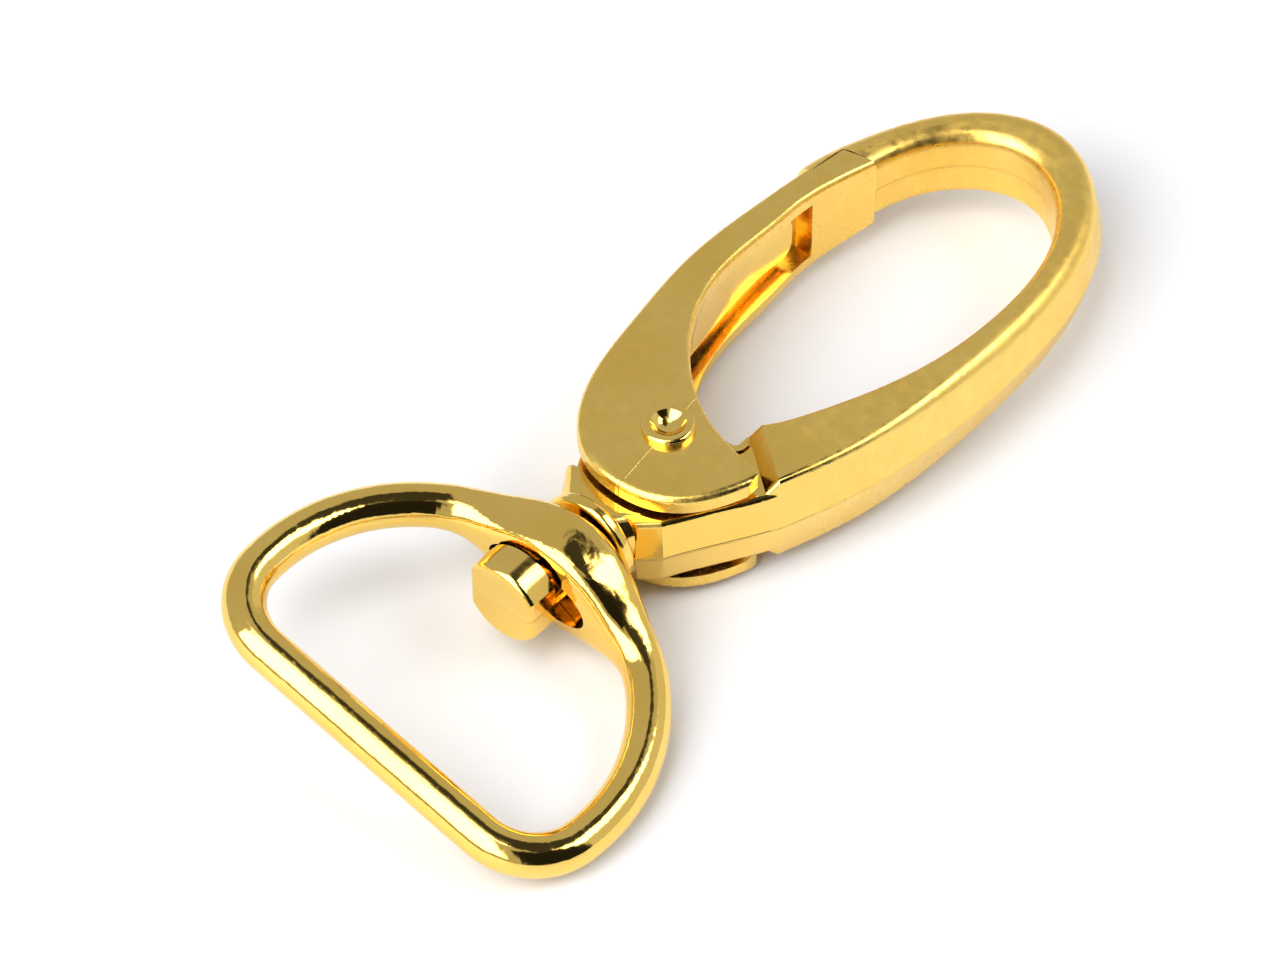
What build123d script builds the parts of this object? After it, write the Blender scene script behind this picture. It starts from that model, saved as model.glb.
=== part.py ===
from build123d import *
import math
import os

# Gold-plated swivel trigger hook for a 20 mm strap.
# Worked out in the swivel's own frame, in millimetres: +Y runs along the swivel
# axis from the strap bar to the nose, +X towards the spine arm, and Z = 0 is the
# parting plane.  place() then sets every piece on the surface it lies on.

# D-ring
RING_R = 11.15           # centre line of the round side
WIRE_R = 1.18
WIRE_END = 48            # degrees from +X where the wire starts to swell into the hub
BAR_Y = -4.5             # strap bar below the centre of the round side
BAR_CORNER_R = 3.75
RING_TURN = 12.7         # the ring lies swivelled so that one corner is down
HUB_BACK = 12.2
HUB_FRONT = 8.6
HUB_HALF = 2.9
HUB_RISE = 0.2           # the hub's middle stands this far above the wire's plane
SECTION_STEPS = 32
SEAT_DEPTH = 1.2         # long recess in the hub's front face, behind the stud head
SEAT_LENGTH = 6.5
SEAT_HEIGHT = 3.2

# Stud and neck of the hook body
AXIS_X = -0.5            # the swivel axis lies a little to the gate side
STUD_R = 1.4
SWIVEL_GAP = 0.06
HEAD_R = 2.45
HEAD_FLAT = 2.1          # half width over the head's two flats
HEAD_LENGTH = 1.9
HEAD_BACK = 8.3
HEAD_SIDE = -0.6         # the head is upset off the stud's axis
HEAD_ROUND = 0.35
STUD_LAP = 0.6           # the stud runs this far into its head and its collar
COLLAR_R = 2.85
COLLAR_FRONT = 12.35
COLLAR_LENGTH = 0.8
COLLAR_ROUND = 0.28
WAIST = (4.6, 4.5, 2.0)  # width, height and corner radius of the neck behind the collar
NECK_ROOT = (6.6, 0.9)   # width and corner radius where the neck meets the base
NECK_ROOT_Y = 14.7

# Hook body
CENTRE_X = 0.4           # the oval's centre line lies a little to the spine side
SHELF_HALF = 2.2
SIDE_DRAFT = 12          # degrees, the sides slope out to the parting line
NOSE_Y = 50.9
NOSE_INSIDE_Y = 47.9
PIVOT = (-0.4, 18.9)
TIP_R = 23.35            # gate's end face, about the pivot
TIP_GAP = 0.2
FINGER_END_Y = 39.0
FINGER_GAP = 0.15
TONGUE_R = 4.6
SHELF_ROUND = 0.28
ARM_HALF = 2.9           # half height of the arm's inner wall at its root
STEP_RUN = 0.75          # the step from the shelf to the arm slopes over this length
STEP_LEAN = (-0.5, -0.87)  # its direction, away from the arm
EDGE_ROUND = (0.3, 0.8)  # inner edge of the arm, at its root and at the nose
ARRIS_ROUND = (0.35, 1.05)  # edge between the side and the inner wall's face, likewise
PARTING_ROUND = 0.6

# Gate
GATE_HALF = 3.55
GATE_TIP_HALF = 2.35
CHEEK = 1.0              # cheek thickness over the pivot
TIP_CHEEK = 0.8
CHANNEL_END_Y = 37.4
FALL_START_Y = 27        # the cheeks start to close in here
FALL_MIDDLE = (35, 0.42)  # by this point they have done this share of it
FALL_END_Y = 43
FALL_SLOPE = 0.12
GATE_SPAN = 20           # longer than the gate is wide, for cutters
GATE_RIM_OUTSIDE = ((-5.94, 19.05, GATE_HALF), (-7.78, 34.1, 3.16), (3.34, 15.47, GATE_HALF))
GATE_RIM_INSIDE = ((-1.3, 22.1, GATE_HALF), (-5.86, 34.4, 3.13))

OUTSIDE_ROUND = 0.4
INSIDE_ROUND = 0.3

# Rivet
RIVET_R = 1.0
RIVET_HEAD_R = 1.43
RIVET_PROUD = 0.44
RIVET_ROUND = 0.24
RIVET_PLAY = 0.05
DISH_R = 0.95
DISH_DEPTH = 0.5

# Leaf spring
LEAF = 0.4
LEAF_HALF = 1.4
LEAF_BEND_R = 0.3        # inside radius of the turned-up lip
LEAF_CORNER_R = 0.9
LEAF_TIP_Y = 36.5
LEAF_BACK_Y = 10         # middle of the strip it is trimmed by, so that only its tip is rounded
LEAF_SEAT_Y = 21.25
LEAF_TURN_X = -2.4
LIP_X = 2.33
LIP_END_Y = 22.6


def flat(point):
    """A plan point as a vector on the parting plane."""
    return Vector(point[0], point[1], 0)


def polar(radius, angle):
    turn = math.radians(angle)
    return Vector(radius * math.cos(turn), radius * math.sin(turn), 0)


def ring_path():
    """Centre line of the wire, from one end of the hub round by the strap bar to the other."""
    reach = RING_R - BAR_CORNER_R
    rise = BAR_Y + BAR_CORNER_R
    low = math.degrees(math.asin(rise / reach))
    corner = (math.sqrt(reach ** 2 - rise ** 2), rise)
    side = CenterArc((0, 0), RING_R, WIRE_END, low - WIRE_END)
    bend = CenterArc(corner, BAR_CORNER_R, low, -90 - low)
    bar = Line((corner[0], BAR_Y), (-corner[0], BAR_Y))
    return Wire([side.edge(), bend.edge(), bar.edge(),
                 mirror(bend, Plane.YZ).edge(), mirror(side, Plane.YZ).edge()])


def hub_sections():
    """Angle, inner radius, outer radius, half height and squareness, from the wire to the middle."""
    inner_wire, outer_wire = RING_R - WIRE_R, RING_R + WIRE_R
    return [(WIRE_END, inner_wire, outer_wire, WIRE_R, 2.0),
            (53, inner_wire - 0.05, outer_wire - 0.02, WIRE_R + 0.03, 2.15),
            (58, 9.76, 12.2, 1.32, 2.5),
            (64, 9.42, 12.1, 1.6, 3.0),
            (70, 9.1, 12.07, 2.05, 3.6),
            (76, 8.86, 12.1, 2.5, 4.2),
            (83, HUB_FRONT + 0.06, HUB_BACK - 0.04, 2.8, 4.8),
            (90, HUB_FRONT, HUB_BACK, HUB_HALF, 5.0)]


def soft_rectangle(width, height, squareness):
    """Closed curve that passes from an ellipse, squareness 2, towards a rectangle."""
    points = []
    for step in range(SECTION_STEPS):
        turn = 2 * math.pi * step / SECTION_STEPS
        across, along = math.cos(turn), math.sin(turn)
        points.append((math.copysign(abs(across) ** (2 / squareness), across) * width / 2,
                       math.copysign(abs(along) ** (2 / squareness), along) * height / 2))
    return make_face(Spline(*points, periodic=True))


def make_hub():
    """Saddle-shaped hub: the wire flattens, rises over the swivel axis and falls again."""
    half_way = hub_sections()
    other_way = [(180 - angle, *sizes) for angle, *sizes in half_way[-2::-1]]
    sections = []
    for angle, inner, outer, half, squareness in half_way + other_way:
        rise = Vector(0, 0, HUB_RISE * (half - WIRE_R) / (HUB_HALF - WIRE_R))
        plane = Plane(origin=polar((inner + outer) / 2, angle) + rise,
                      x_dir=polar(1, angle), z_dir=polar(1, angle + 90))
        if squareness == 2.0:
            sections.append(plane * Circle(WIRE_R))
        else:
            sections.append(plane * soft_rectangle(outer - inner, 2 * half, squareness))
    return loft(sections)


def make_d_ring():
    path = ring_path()
    start = Plane(origin=path @ 0, z_dir=path % 0)
    ring = sweep(start * Circle(WIRE_R), path=path) + make_hub()
    seat = Plane(origin=(AXIS_X, HUB_FRONT + SEAT_DEPTH, 0), x_dir=(1, 0, 0), z_dir=(0, -1, 0))
    ring = ring - extrude(seat * Ellipse(SEAT_LENGTH / 2, SEAT_HEIGHT / 2), 5)
    return ring - extrude(along_axis(HUB_FRONT) * Circle(STUD_R + SWIVEL_GAP), 2 * (HUB_BACK - HUB_FRONT))


def outline_pairs():
    """Inner and outer points of the arm and nose, from the step wall to the finger."""
    spine = [((2.7, 22.8), (6.6, 19.8)), ((3.9, 24.7), (7.7, 22.9)),
             ((5.3, 28.0), (8.7, 27.2)), ((6.4, 32.0), (9.15, 31.8)),
             ((6.8, 36.6), (9.2, 36.6)), ((6.3, 41.5), (8.55, 42.0))]
    side = (4.3, 45.2), (6.35, 46.7)
    corner = (2.3, 47.2), (3.5, 49.75)
    for inner, outer in (side, corner):
        spine.append(((CENTRE_X + inner[0], inner[1]), (CENTRE_X + outer[0], outer[1])))
    nose = [((CENTRE_X, NOSE_INSIDE_Y), (CENTRE_X, NOSE_Y))]
    for inner, outer in (corner, side):
        nose.append(((CENTRE_X - inner[0], inner[1]), (CENTRE_X - outer[0], outer[1])))
    nose += [((-5.3, 41.5), (-8.05, 41.9)), ((-5.7, 38.0), (-8.12, 38.0))]
    return spine + nose


def eased(value):
    """Smooth rise from 0 to 1."""
    value = min(1.0, max(0.0, value))
    return value * value * (3 - 2 * value)


def arm_section(inner, outer, share, softness, drop=0.0):
    """Section of the arm: flat inner wall, sloping sides that meet at the parting line.
    share runs from 0 at the step wall to 1 at the nose; softness does so faster, for the arris."""
    across = flat(outer) - flat(inner)
    width = across.length
    inside = ARM_HALF - 0.75 * share - drop
    arris = ARM_HALF + 0.05 - 0.35 * share - drop
    bulge = 0.7 - 0.1 * share
    points = [(0, -inside), (width - bulge, -arris), (width, 0),
              (width - bulge, arris), (0, inside)]
    face = make_face(Polyline(*points, close=True))
    edge = EDGE_ROUND[0] + (EDGE_ROUND[1] - EDGE_ROUND[0]) * share
    arris_edge = ARRIS_ROUND[0] + (ARRIS_ROUND[1] - ARRIS_ROUND[0]) * softness
    for point, radius in zip(points, (edge, arris_edge, PARTING_ROUND, arris_edge, edge)):
        near = face.vertices().sort_by_distance(Vector(*point))[0]
        face = fillet(near, radius)
    plane = Plane(origin=flat(inner), x_dir=across, z_dir=across.cross(Vector(0, 0, 1)))
    return plane * face


def make_arm():
    pairs = outline_pairs()
    sections = []
    for step, (inner, outer) in enumerate(pairs):
        sections.append(arm_section(inner, outer, eased((step - 1) / 6), eased((step - 1) / 3)))
    back = Vector(*STEP_LEAN) * STEP_RUN
    inner, outer = [flat(point) + back for point in pairs[0]]
    foot = arm_section((inner.X, inner.Y), (outer.X, outer.Y), 0, 0, drop=ARM_HALF - SHELF_HALF)
    return loft(sections) + loft([foot, sections[0]], ruled=True)


def about_pivot(radius, height):
    return Pos(PIVOT[0], PIVOT[1], 0) * Cylinder(radius, height)


def make_base():
    """Flat base between the gate's cheeks, from the neck to the root of the arm."""
    right = Spline((3.3, 14.2), (4.5, 16.3), (6.6, 19.9), tangents=[(0.5, 1), (0.5, 1)])
    root = Polyline((6.6, 19.9), (6.1, 21.6), (5.0, 23.4), (3.6, 23.6), (2.4, 22.8), (2.4, 21.2),
                    (-3.0, 21.2))
    left_mid = (PIVOT[0] - TONGUE_R, PIVOT[1])
    left = ThreePointArc((-3.0, 21.2), (-4.55, 20.2), left_mid)
    lower = Spline(left_mid, (-4.1, 15.8), (-3.3, 14.2), tangents=[(0, -1), (0.5, -1)])
    bottom = Polyline((-3.3, 14.2), (-2.2, 13.2), (2.2, 13.2), (3.3, 14.2))
    face = make_face([right, root, left, lower, bottom])
    upper = extrude(face, SHELF_HALF, taper=SIDE_DRAFT)
    rim = upper.edges().group_by(Axis.Z)[-1]
    upper = fillet([edge for edge in rim if edge.center().X > 2 and edge.center().Y < 21], SHELF_ROUND)
    return upper + mirror(upper, Plane.XY)


def along_axis(y):
    """Plane across the swivel axis, looking along +Y."""
    return Plane(origin=(AXIS_X, y, 0), x_dir=(1, 0, 0), z_dir=(0, 1, 0))


def make_neck():
    """Collar behind the ring's hub, waist, stud and the headed end inside the D."""
    collar = extrude(along_axis(COLLAR_FRONT) * Circle(COLLAR_R), COLLAR_LENGTH)
    collar = fillet(collar.edges().filter_by(GeomType.CIRCLE), COLLAR_ROUND)
    waist = loft([along_axis(COLLAR_FRONT + COLLAR_LENGTH - COLLAR_ROUND) * RectangleRounded(*WAIST),
                  along_axis(NECK_ROOT_Y) * RectangleRounded(NECK_ROOT[0], 2 * SHELF_HALF, NECK_ROOT[1])])
    stud_length = COLLAR_FRONT - HEAD_BACK + 2 * STUD_LAP
    stud = extrude(along_axis(HEAD_BACK - STUD_LAP) * Circle(STUD_R), stud_length)
    middle = Pos(AXIS_X + HEAD_SIDE, HEAD_BACK - HEAD_LENGTH / 2, 0)
    head = Rot(90, 0, 0) * Cylinder(HEAD_R, HEAD_LENGTH)
    head = middle * (head & Box(2 * HEAD_FLAT, HEAD_LENGTH, 2 * HEAD_R))
    head = fillet(head.edges().group_by(Axis.Y)[0], HEAD_ROUND)
    return collar + waist + stud + head


def finger_room():
    """The space the gate's tip takes beside the finger, out to its end face."""
    inside = about_pivot(TIP_R + TIP_GAP, GATE_SPAN)
    line = [(-6.95, 43.5), (-7.25, 41.0), (-7.4, 38.9), (-7.5, 37.0), (0.0, 37.0), (0.0, 43.5)]
    return inside & extrude(make_face(Polyline(*line, close=True)), GATE_SPAN / 2, both=True)


def below_finger():
    """Everything on the gate's side of the arm that lies before the finger's square end."""
    return Pos(-7.5, FINGER_END_Y - 5, 0) * Box(6, 10, GATE_SPAN)


def make_hook_body():
    arm = make_arm() - finger_room() - below_finger()
    body = arm + make_base() + make_neck()
    return body - about_pivot(RIVET_R + RIVET_PLAY, GATE_SPAN)


def thickness_profile(half, tip_half):
    """Side view of the gate: level over the pivot, falling in a smooth curve to the tip."""
    middle_y, share = FALL_MIDDLE
    middle = half - share * (half - tip_half)
    base_y = PIVOT[1] - TONGUE_R - GATE_SPAN / 4
    top = Spline((FALL_START_Y, half), (middle_y, middle), (FALL_END_Y, tip_half),
                 tangents=[(1, 0), (1, -FALL_SLOPE)])
    low = Spline((FALL_END_Y, -tip_half), (middle_y, -middle), (FALL_START_Y, -half),
                 tangents=[(-1, -FALL_SLOPE), (-1, 0)])
    end = Line((FALL_END_Y, tip_half), (FALL_END_Y, -tip_half))
    back = Polyline((FALL_START_Y, -half), (base_y, -half), (base_y, half), (FALL_START_Y, half))
    plane = Plane(origin=(0, 0, 0), x_dir=(0, 1, 0), z_dir=(1, 0, 0))
    return extrude(plane * make_face([top, end, low, back]), GATE_SPAN, both=True)


def gate_outline():
    """Plan of the gate: long outer curve, round lower end, pointed heel, hollow inner edge."""
    outer = Spline((-7.1, 43.0), (-7.75, 35.0), (-7.75, 29.5), (-6.9, 23.2), (-5.6, 18.2),
                   (-4.0, 15.8), (-0.1, 14.3), tangents=[(-0.15, -1), (1, 0)])
    lower = Spline((-0.1, 14.3), (3.0, 15.2), (5.25, 18.6), tangents=[(1, 0), (0.35, 1)])
    heel = Polyline((5.25, 18.6), (5.2, 19.5), (4.4, 19.85))
    inner = Spline((4.4, 19.85), (0.4, 21.0), (-3.3, 24.1), (-5.6, 29.3), (-5.85, 34.0), (-4.75, 43.0),
                   tangents=[(-1, 0.15), (0.25, 1)])
    end = Line((-4.75, 43.0), (-7.1, 43.0))
    return make_face([outer, lower, heel, inner, end])


def channel_outline():
    """Plan of the hollow between the cheeks, open towards the eye and around the base."""
    web = Spline((-7.0, CHANNEL_END_Y), (-7.0, 31.0), (-6.3, 24.5), (-5.35, 19.5), (-5.3, 16.9),
                 tangents=[(-0.1, -1), (0.05, -1)])
    rest = Polyline((-5.3, 16.9), (-7.0, 15.5), (-3.0, 12.0), (9.0, 12.0), (9.0, 24.0),
                    (-1.0, 30.0), (-3.0, CHANNEL_END_Y), (-7.0, CHANNEL_END_Y))
    return make_face([web, rest])


def rim_edges(solid, places, side):
    """Edges of the top (side 1) or bottom (side -1) face whose middles are nearest the places."""
    edges = []
    for x, y, z in places:
        edges.append(min(solid.edges(), key=lambda edge: (edge.center() - Vector(x, y, side * z)).length))
    return edges


def make_gate():
    solid = extrude(gate_outline(), 2 * GATE_HALF, both=True) & thickness_profile(GATE_HALF, GATE_TIP_HALF)
    channel = extrude(channel_outline(), 2 * GATE_HALF, both=True)
    channel = channel & thickness_profile(GATE_HALF - CHEEK, GATE_TIP_HALF - TIP_CHEEK)
    solid = solid & about_pivot(TIP_R, GATE_SPAN)
    for height in (1, -1):
        solid = fillet(rim_edges(solid, GATE_RIM_OUTSIDE, height), OUTSIDE_ROUND)
        solid = fillet(rim_edges(solid, GATE_RIM_INSIDE, height), INSIDE_ROUND)
    solid = solid - channel
    finger_y = FINGER_END_Y - FINGER_GAP
    notch = Polyline((-9.5, 44), (-6.73, 44), (-7.0, 41.0), (-7.15, 38.9), (-7.2, finger_y),
                     (-9.5, finger_y), close=True)
    solid = solid - extrude(make_face(notch), 2 * GATE_HALF, both=True)
    return solid - about_pivot(RIVET_R, GATE_SPAN)


def make_pivot_rivet():
    """Semi-tubular rivet: a plain shank with a dished, round-edged head at each end."""
    rivet = Cylinder(RIVET_R, 2 * GATE_HALF)
    for side in (1, -1):
        head = Pos(0, 0, side * (GATE_HALF + RIVET_PROUD / 2)) * Cylinder(RIVET_HEAD_R, RIVET_PROUD)
        outer = head.edges().filter_by(GeomType.CIRCLE).sort_by(Axis.Z)[-1 if side > 0 else 0]
        head = fillet(outer, RIVET_ROUND)
        rivet = rivet + head
        ball = (DISH_R ** 2 + DISH_DEPTH ** 2) / (2 * DISH_DEPTH)
        rivet = rivet - Pos(0, 0, side * (GATE_HALF + RIVET_PROUD + ball - DISH_DEPTH)) * Sphere(ball)
    return Pos(PIVOT[0], PIVOT[1], 0) * rivet


def leaf_foot():
    """Lip against the root of the arm, and the flat that lies on the tongue."""
    low, high = LEAF_SEAT_Y, LEAF_SEAT_Y + LEAF
    outline = Polyline((LIP_X, LIP_END_Y), (LIP_X - LEAF, LIP_END_Y), (LIP_X - LEAF, high),
                       (LEAF_TURN_X, high), (LEAF_TURN_X, low), (LIP_X, low), close=True)
    face = make_face(outline)
    for corner, radius in (((LIP_X, low), LEAF_BEND_R + LEAF), ((LIP_X - LEAF, high), LEAF_BEND_R)):
        face = fillet(face.vertices().sort_by_distance(Vector(*corner))[0], radius)
    return face


def leaf_blade():
    """The blade turns up and lies along the inside of the gate's web."""
    centre = Spline((LEAF_TURN_X, LEAF_SEAT_Y + LEAF / 2), (-5.55, 25.0), (-6.6, 31.0),
                    (-6.7, LEAF_TIP_Y + 1), tangents=[(-1, 0), (0.06, 1)])
    sides = []
    for side in (1, -1):
        points = []
        for step in range(13):
            along = centre % (step / 12)
            points.append((centre @ (step / 12)) + Vector(-along.Y, along.X) * (side * LEAF / 2))
        sides.append(points)
    left, right = sides
    return make_face([Spline(*left), Line(left[-1], right[-1]), Spline(*right), Line(right[0], left[0])])


def make_leaf_spring():
    leaf = extrude(leaf_foot() + leaf_blade(), LEAF_HALF, both=True)
    rounded = RectangleRounded(2 * (LEAF_TIP_Y - LEAF_BACK_Y), 2 * LEAF_HALF, LEAF_CORNER_R)
    side_view = Plane(origin=(0, LEAF_BACK_Y, 0), x_dir=(0, 1, 0), z_dir=(1, 0, 0))
    return leaf & extrude(side_view * rounded, GATE_SPAN, both=True)


def place(pieces):
    """Turn the ring, then put the origin under the middle of the box that holds all."""
    pieces["d_ring"] = Pos(AXIS_X, 0, 0) * Rot(0, RING_TURN, 0) * Pos(-AXIS_X, 0, 0) * pieces["d_ring"]
    boxes = [piece.bounding_box() for piece in pieces.values()]
    low = [min(tuple(box.min)[axis] for box in boxes) for axis in range(3)]
    high = [max(tuple(box.max)[axis] for box in boxes) for axis in range(3)]
    shift = Pos(-(low[0] + high[0]) / 2, -(low[1] + high[1]) / 2, -low[2])
    print("swivel frame moves by", shift.position, "box from", low, "to", high)
    return {name: shift * piece for name, piece in pieces.items()}


def main():
    os.makedirs("parts", exist_ok=True)
    pieces = {
        "d_ring": make_d_ring(),
        "hook_body": make_hook_body(),
        "gate": make_gate(),
        "pivot_rivet": make_pivot_rivet(),
        "leaf_spring": make_leaf_spring(),
    }
    for name, piece in place(pieces).items():
        export_step(piece, f"parts/{name}.step")


main()
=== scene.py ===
import math

import bpy
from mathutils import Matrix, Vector


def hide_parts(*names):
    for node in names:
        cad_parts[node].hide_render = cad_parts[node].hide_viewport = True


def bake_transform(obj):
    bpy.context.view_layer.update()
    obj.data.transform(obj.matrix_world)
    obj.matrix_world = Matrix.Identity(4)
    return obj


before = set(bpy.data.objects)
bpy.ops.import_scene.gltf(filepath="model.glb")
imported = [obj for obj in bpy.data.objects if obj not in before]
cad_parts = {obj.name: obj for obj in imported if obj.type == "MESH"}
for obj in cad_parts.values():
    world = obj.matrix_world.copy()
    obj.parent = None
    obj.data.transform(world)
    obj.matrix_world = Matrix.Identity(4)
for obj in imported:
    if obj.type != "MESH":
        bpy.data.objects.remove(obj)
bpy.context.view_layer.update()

MM = 0.001

# Camera: where it looks from, in degrees, the point it looks at, and its lens in millimetres
CAMERA_AZIMUTH = 40.62
CAMERA_ELEVATION = 48.5
CAMERA_AIM = (-1.19 * MM, -5.02 * MM, 3.99 * MM)
CAMERA_DISTANCE = 0.314
CAMERA_LENS = 168.75
SENSOR_WIDTH = 36.0
NEAR_LIMIT = 0.01

# The parting plane of the castings, above the surface that the hook lies on, in millimetres
PARTING_Z = 3.99

# Gold plating: its colours, and the spacing of its blemishes as noise cells per metre
GOLD = (0.94, 0.66, 0.17)
DEEP_GOLD = (0.91, 0.60, 0.13)
# paler gold painted on the edges, partly as wear and partly as a painted highlight
WEAR_AND_HIGHLIGHT_GOLD = (0.96, 0.72, 0.28)
DRIFT_SCALE = 170.0
CLOUD_SCALE = 1500.0
POLISH_SCALE = 1300.0
WEAR_SCALE = 900.0
HAIRLINE_SCALE = 5200.0
HAIRLINE_STRETCH = (1.0, 0.02, 1.0)
HAIRLINE_TURN = (0.3, 0.2, 0.7)      # radians
HAIRLINE_DEPTH = 0.0012 * MM
EDGE_RADIUS = 0.15 * MM              # how far the edge wear and the painted edge highlight reach in from an edge
SEAM_WIDTH = 0.09 * MM               # half width of a parting line
SEAM_HEIGHT = 0.02 * MM

FLOOR_SIZE = 20.0
FLOOR_COLOUR = (0.79, 0.80, 0.83, 1)
FLOOR_ROUGHNESS = 0.55


# ---------------------------------------------------------------- materials

def new_material(name):
    """An empty node material and its tree."""
    material = bpy.data.materials.new(name)
    material.use_nodes = True
    tree = material.node_tree
    tree.nodes.clear()
    return material, tree


def add(tree, kind, **values):
    """One shader node, with its inputs set by socket name."""
    node = tree.nodes.new(kind)
    for name, value in values.items():
        node.inputs[name.replace("_", " ")].default_value = value
    return node


def between(tree, value, low, high, out_low=0.0, out_high=1.0):
    """The value's range low to high, mapped smoothly to out_low to out_high."""
    node = tree.nodes.new("ShaderNodeMapRange")
    node.interpolation_type = "SMOOTHSTEP"
    limits = {"From Min": low, "From Max": high, "To Min": out_low, "To Max": out_high}
    for name, limit in limits.items():
        node.inputs[name].default_value = limit
    tree.links.new(value, node.inputs["Value"])
    return node.outputs["Result"]


def maths(tree, operation, *values):
    """One maths node on sockets or plain numbers."""
    node = tree.nodes.new("ShaderNodeMath")
    node.operation = operation
    for socket, value in zip(node.inputs, values):
        if isinstance(value, (int, float)):
            socket.default_value = value
        else:
            tree.links.new(value, socket)
    return node.outputs[0]


def noise(tree, place, scale, detail, roughness):
    """Noise from 0 to 1 at a place."""
    node = add(tree, "ShaderNodeTexNoise", Scale=scale, Detail=detail, Roughness=roughness)
    tree.links.new(place, node.inputs["Vector"])
    return node.outputs["Fac"]


def along(tree, place, direction):
    """Distance from the origin along a direction."""
    node = tree.nodes.new("ShaderNodeVectorMath")
    node.operation = "DOT_PRODUCT"
    tree.links.new(place, node.inputs[0])
    node.inputs[1].default_value = direction
    return node.outputs["Value"]


def mixed(tree, factor, first, second):
    """Colour between two colours or colour sockets."""
    node = tree.nodes.new("ShaderNodeMix")
    node.data_type = "RGBA"
    for name, value in (("A", first), ("B", second)):
        if isinstance(value, tuple):
            node.inputs[name].default_value = (*value, 1)
        else:
            tree.links.new(value, node.inputs[name])
    tree.links.new(factor, node.inputs["Factor"])
    return node.outputs["Result"]


def bump(tree, height, distance, normal=None):
    """Normal of a surface raised by height times distance, over another bump if one is given."""
    node = add(tree, "ShaderNodeBump", Strength=1.0, Distance=distance)
    tree.links.new(height, node.inputs["Height"])
    if normal is not None:
        tree.links.new(normal, node.inputs["Normal"])
    return node.outputs["Normal"]


def edge_wear_and_highlight(tree, place):
    """1 in patches along the edges, where the bevelled normal leaves the true one, and 0 elsewhere: a mask
    for edge wear that also places a painted edge highlight.
    """
    rounded = add(tree, "ShaderNodeBevel", Radius=EDGE_RADIUS)
    rounded.samples = 4
    agreement = tree.nodes.new("ShaderNodeVectorMath")
    agreement.operation = "DOT_PRODUCT"
    tree.links.new(rounded.outputs["Normal"], agreement.inputs[0])
    tree.links.new(tree.nodes.new("ShaderNodeNewGeometry").outputs["Normal"], agreement.inputs[1])
    patchy = between(tree, noise(tree, place, WEAR_SCALE, 3.0, 0.6), 0.35, 0.6)
    return maths(tree, "MULTIPLY", between(tree, agreement.outputs["Value"], 0.985, 0.93), patchy)


def plating_colour(tree, place, wear_and_highlight):
    """Slow drift and small clouds of deeper gold, painted lighter along the edges, partly as wear and
    partly as a painted highlight.
    """
    drift = between(tree, noise(tree, place, DRIFT_SCALE, 3.0, 0.55), 0.3, 0.7)
    cloud = between(tree, noise(tree, place, CLOUD_SCALE, 3.0, 0.6), 0.35, 0.7, 0.0, 0.6)
    colour = mixed(tree, maths(tree, "MAXIMUM", drift, cloud), GOLD, DEEP_GOLD)
    # edges mixed partway to the paler gold: partly wear, partly a painted highlight
    return mixed(tree, maths(tree, "MULTIPLY", wear_and_highlight, 0.6), colour, WEAR_AND_HIGHLIGHT_GOLD)


def plating_roughness(tree, place, wear_and_highlight, roughness, satin):
    """Uneven polish, smoother along the edge mask where the plating has wear, with an optional satin
    stretch.
    """
    polish = between(tree, noise(tree, place, POLISH_SCALE, 4.0, 0.6), 0.3, 0.75, 0.75, 1.35)
    if satin is not None:
        satin_roughness, start, end = satin
        forward = along(tree, place, (0, 1, 0))
        roughness = between(tree, forward, start * MM, end * MM, roughness, satin_roughness)
    rough = maths(tree, "MULTIPLY", polish, roughness)
    return maths(tree, "MULTIPLY", rough, between(tree, wear_and_highlight, 0.0, 1.0, 1.0, 0.7))


def plating_relief(tree, place, relief, wave, grain, mottle, seam):
    """Soft waves, fine grain, hairlines and an optional seam, as one normal."""
    normal = bump(tree, noise(tree, place, 1 / (wave * MM), 2.0, 0.5), relief * MM)
    normal = bump(tree, noise(tree, place, 1 / (grain * MM), 5.0, 0.65), mottle * MM, normal)
    stretched = add(tree, "ShaderNodeMapping", Rotation=HAIRLINE_TURN, Scale=HAIRLINE_STRETCH)
    tree.links.new(place, stretched.inputs["Vector"])
    streak = noise(tree, stretched.outputs["Vector"], HAIRLINE_SCALE, 1.0, 0.5)
    normal = bump(tree, between(tree, streak, 0.68, 0.80), -HAIRLINE_DEPTH, normal)
    if seam is not None:
        direction, distance = seam
        offset = maths(tree, "SUBTRACT", along(tree, place, direction), distance * MM)
        ridge = between(tree, maths(tree, "ABSOLUTE", offset), SEAM_WIDTH, 0.02 * MM)
        normal = bump(tree, ridge, SEAM_HEIGHT, normal)
    return normal


def gold(name, roughness, relief, wave, grain, mottle, satin=None, seam=None):
    """Gold plating on a small casting.
    relief is the height of soft waves of the size wave, and mottle that of the grain, all in mm.
    satin is a rougher finish that sets in along +Y, as (roughness, from, to).
    seam is a fine raised line where a plane cuts the surface, as (normal, distance)."""
    material, tree = new_material(name)
    link = tree.links.new
    out = add(tree, "ShaderNodeOutputMaterial")
    shader = add(tree, "ShaderNodeBsdfPrincipled", Metallic=1.0)
    link(shader.outputs["BSDF"], out.inputs["Surface"])
    place = add(tree, "ShaderNodeTexCoord").outputs["Object"]
    # edge mask, for wear and for a painted edge highlight
    wear_and_highlight = edge_wear_and_highlight(tree, place)
    link(plating_colour(tree, place, wear_and_highlight), shader.inputs["Base Color"])
    link(plating_roughness(tree, place, wear_and_highlight, roughness, satin), shader.inputs["Roughness"])
    link(plating_relief(tree, place, relief, wave, grain, mottle, seam), shader.inputs["Normal"])
    return material


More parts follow.
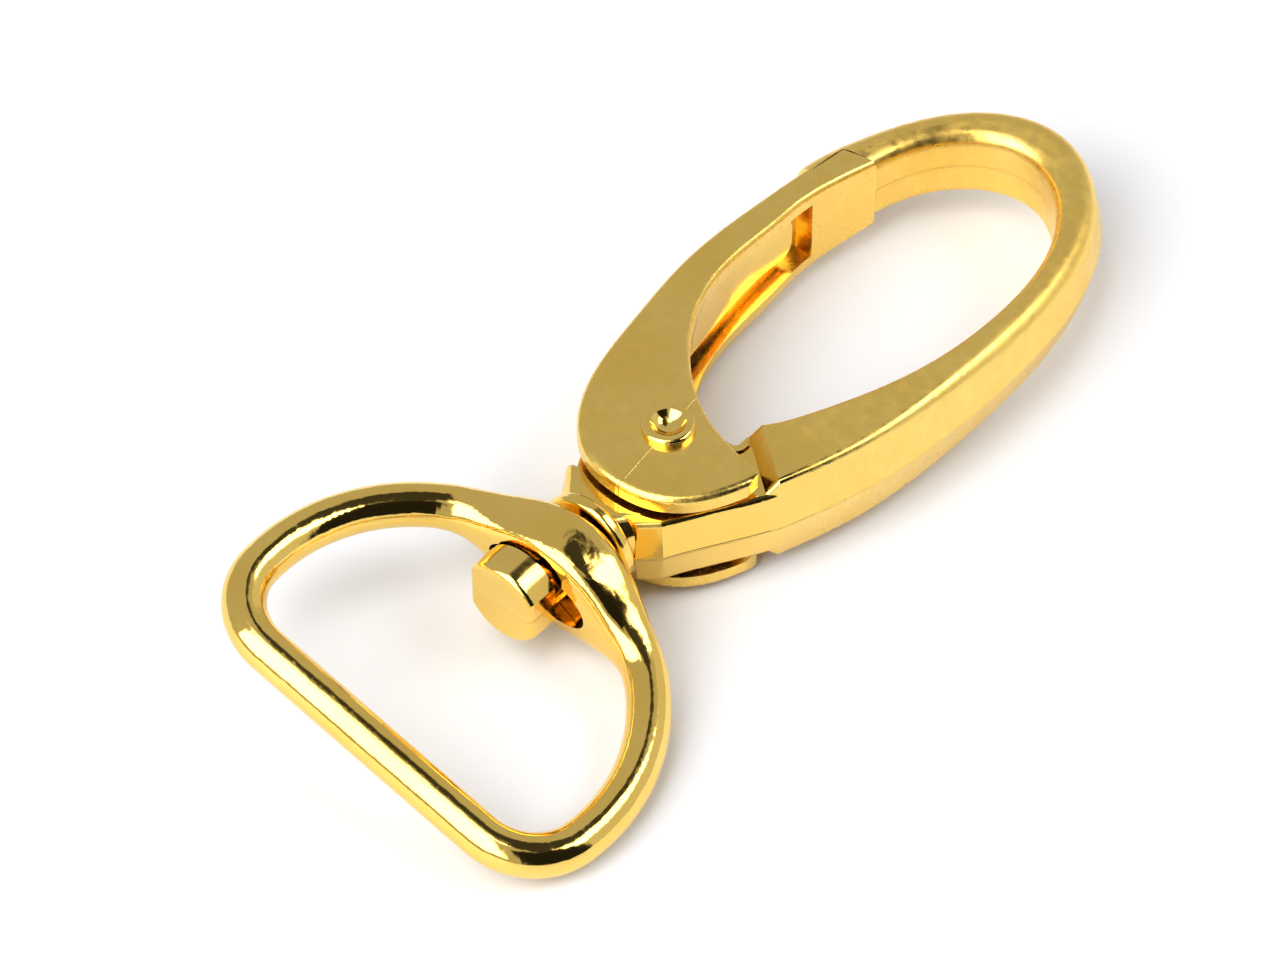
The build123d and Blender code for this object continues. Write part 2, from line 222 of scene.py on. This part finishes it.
def finish_nodes():
    """Every CAD node keeps its mesh and takes its finish through its own material slots."""
    parting = ((0, 0, 1), PARTING_Z)
    crease = ((0.992, 0.126, 0), -0.85)      # a fine line across the gate's cheek, through the rivet
    looks = {
        "hook_body": gold("gold_cast_body", roughness=0.11, relief=0.03, wave=1.6, grain=0.3, mottle=0.002,
                          satin=(0.34, -4.0, 2.0), seam=parting),
        "gate": gold("gold_cast_gate", roughness=0.25, relief=0.03, wave=2.0, grain=0.3, mottle=0.0025,
                     seam=crease),
        "d_ring": gold("gold_cast_ring", roughness=0.08, relief=0.035, wave=1.1, grain=0.18, mottle=0.0025),
        "pivot_rivet": gold("gold_rivet", roughness=0.09, relief=0.01, wave=1.0, grain=0.3, mottle=0.001),
        "leaf_spring": gold("gold_spring_strip", roughness=0.15, relief=0.01, wave=2.0, grain=0.2,
                            mottle=0.0015),
    }
    for name, material in looks.items():
        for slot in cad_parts[name].material_slots:
            slot.link = "OBJECT"
            slot.material = material
    return looks


def bending_spring(material):
    """The spring strip again, as a separate copy with its place baked into the mesh, in place of the hidden
    original.
    """
    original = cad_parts["leaf_spring"]
    strip = original.copy()
    strip.data = original.data.copy()
    strip.name = "bending_leaf_spring"
    bpy.context.scene.collection.objects.link(strip)
    place = original.matrix_world.copy()
    strip.parent = None
    strip.matrix_world = place
    strip.material_slots[0].link = "OBJECT"
    strip.material_slots[0].material = material
    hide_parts("leaf_spring")
    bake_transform(strip)


# ---------------------------------------------------------------- studio

# The studio, as patches of brightness round the hook, each over the ones before it:
# brightness, azimuth, half width, lowest and highest elevation, all angles in degrees
WALLS = 0.66
SOFT_EDGE = 5.0
STUDIO = (
    (0.02, -12, 32, -10, 61),        # dark room in front, to the right of the camera
    (0.06, 50, 62, 58, 82),          # dark gap over the right softbox
    (0.9, 52, 34, -10, 42),          # white screen on the right
    (7.0, 43, 24, 40, 59),           # right softbox
    (6.5, -96, 33, 14, 76),          # left softbox
    (4.5, -90, 70, 76, 100),         # the left softbox reaches over the top
)


def floor():
    """Plain white table that the hook lies on."""
    bpy.ops.mesh.primitive_plane_add(size=FLOOR_SIZE, location=(0, 0, 0))
    plane = bpy.context.object
    plane.name = "table"
    material, tree = new_material("white_table")
    out = add(tree, "ShaderNodeOutputMaterial")
    shader = add(tree, "ShaderNodeBsdfPrincipled", Base_Color=FLOOR_COLOUR, Roughness=FLOOR_ROUGHNESS)
    tree.links.new(shader.outputs["BSDF"], out.inputs["Surface"])
    plane.data.materials.append(material)


def patch(tree, azimuth, elevation, centre, half_width, low, high):
    """1 inside a soft-edged patch of the studio, 0 outside. Angles in degrees, azimuth from +X to +Y."""
    turned = maths(tree, "WRAP", maths(tree, "SUBTRACT", azimuth, centre), 180, -180)
    across = maths(tree, "ABSOLUTE", turned)
    rise = maths(tree, "ABSOLUTE", maths(tree, "SUBTRACT", elevation, (low + high) / 2))
    inside = [between(tree, distance, half + SOFT_EDGE / 2, half - SOFT_EDGE / 2)
              for distance, half in ((across, half_width), (rise, (high - low) / 2))]
    return maths(tree, "MULTIPLY", *inside)


def studio():
    """World shader that lights the scene with the patches of the studio."""
    world = bpy.data.worlds.new("studio")
    bpy.context.scene.world = world
    world.use_nodes = True
    tree = world.node_tree
    tree.nodes.clear()
    link = tree.links.new
    out = tree.nodes.new("ShaderNodeOutputWorld")
    light = tree.nodes.new("ShaderNodeBackground")
    link(light.outputs["Background"], out.inputs["Surface"])
    split = tree.nodes.new("ShaderNodeSeparateXYZ")
    link(tree.nodes.new("ShaderNodeTexCoord").outputs["Generated"], split.inputs["Vector"])

    to_degrees = 180 / math.pi
    turn = maths(tree, "ARCTAN2", split.outputs["Y"], split.outputs["X"])
    azimuth = maths(tree, "MULTIPLY", turn, to_degrees)
    elevation = maths(tree, "MULTIPLY", maths(tree, "ARCSINE", split.outputs["Z"]), to_degrees)
    brightness = None
    for strength, *place in STUDIO:
        mix = add(tree, "ShaderNodeMix", B=strength)
        link(patch(tree, azimuth, elevation, *place), mix.inputs["Factor"])
        mix.inputs["A"].default_value = WALLS
        if brightness is not None:
            link(brightness, mix.inputs["A"])
        brightness = mix.outputs["Result"]
    link(brightness, light.inputs["Strength"])


def camera():
    """Long lens from the ring's side, looking down at the hook."""
    turn = math.radians(CAMERA_AZIMUTH)
    rise = math.radians(CAMERA_ELEVATION)
    back = Vector((math.sin(turn) * math.cos(rise), -math.cos(turn) * math.cos(rise), math.sin(rise)))
    data = bpy.data.cameras.new("camera")
    data.lens = CAMERA_LENS
    data.sensor_width = SENSOR_WIDTH
    data.clip_start = NEAR_LIMIT
    holder = bpy.data.objects.new("camera", data)
    bpy.context.scene.collection.objects.link(holder)
    holder.location = Vector(CAMERA_AIM) + back * CAMERA_DISTANCE
    holder.rotation_euler = back.to_track_quat("Z", "Y").to_euler()
    bpy.context.scene.camera = holder


def main():
    looks = finish_nodes()
    bending_spring(looks["leaf_spring"])
    floor()
    studio()
    camera()
    bpy.context.scene.view_settings.view_transform = "Standard"


main()
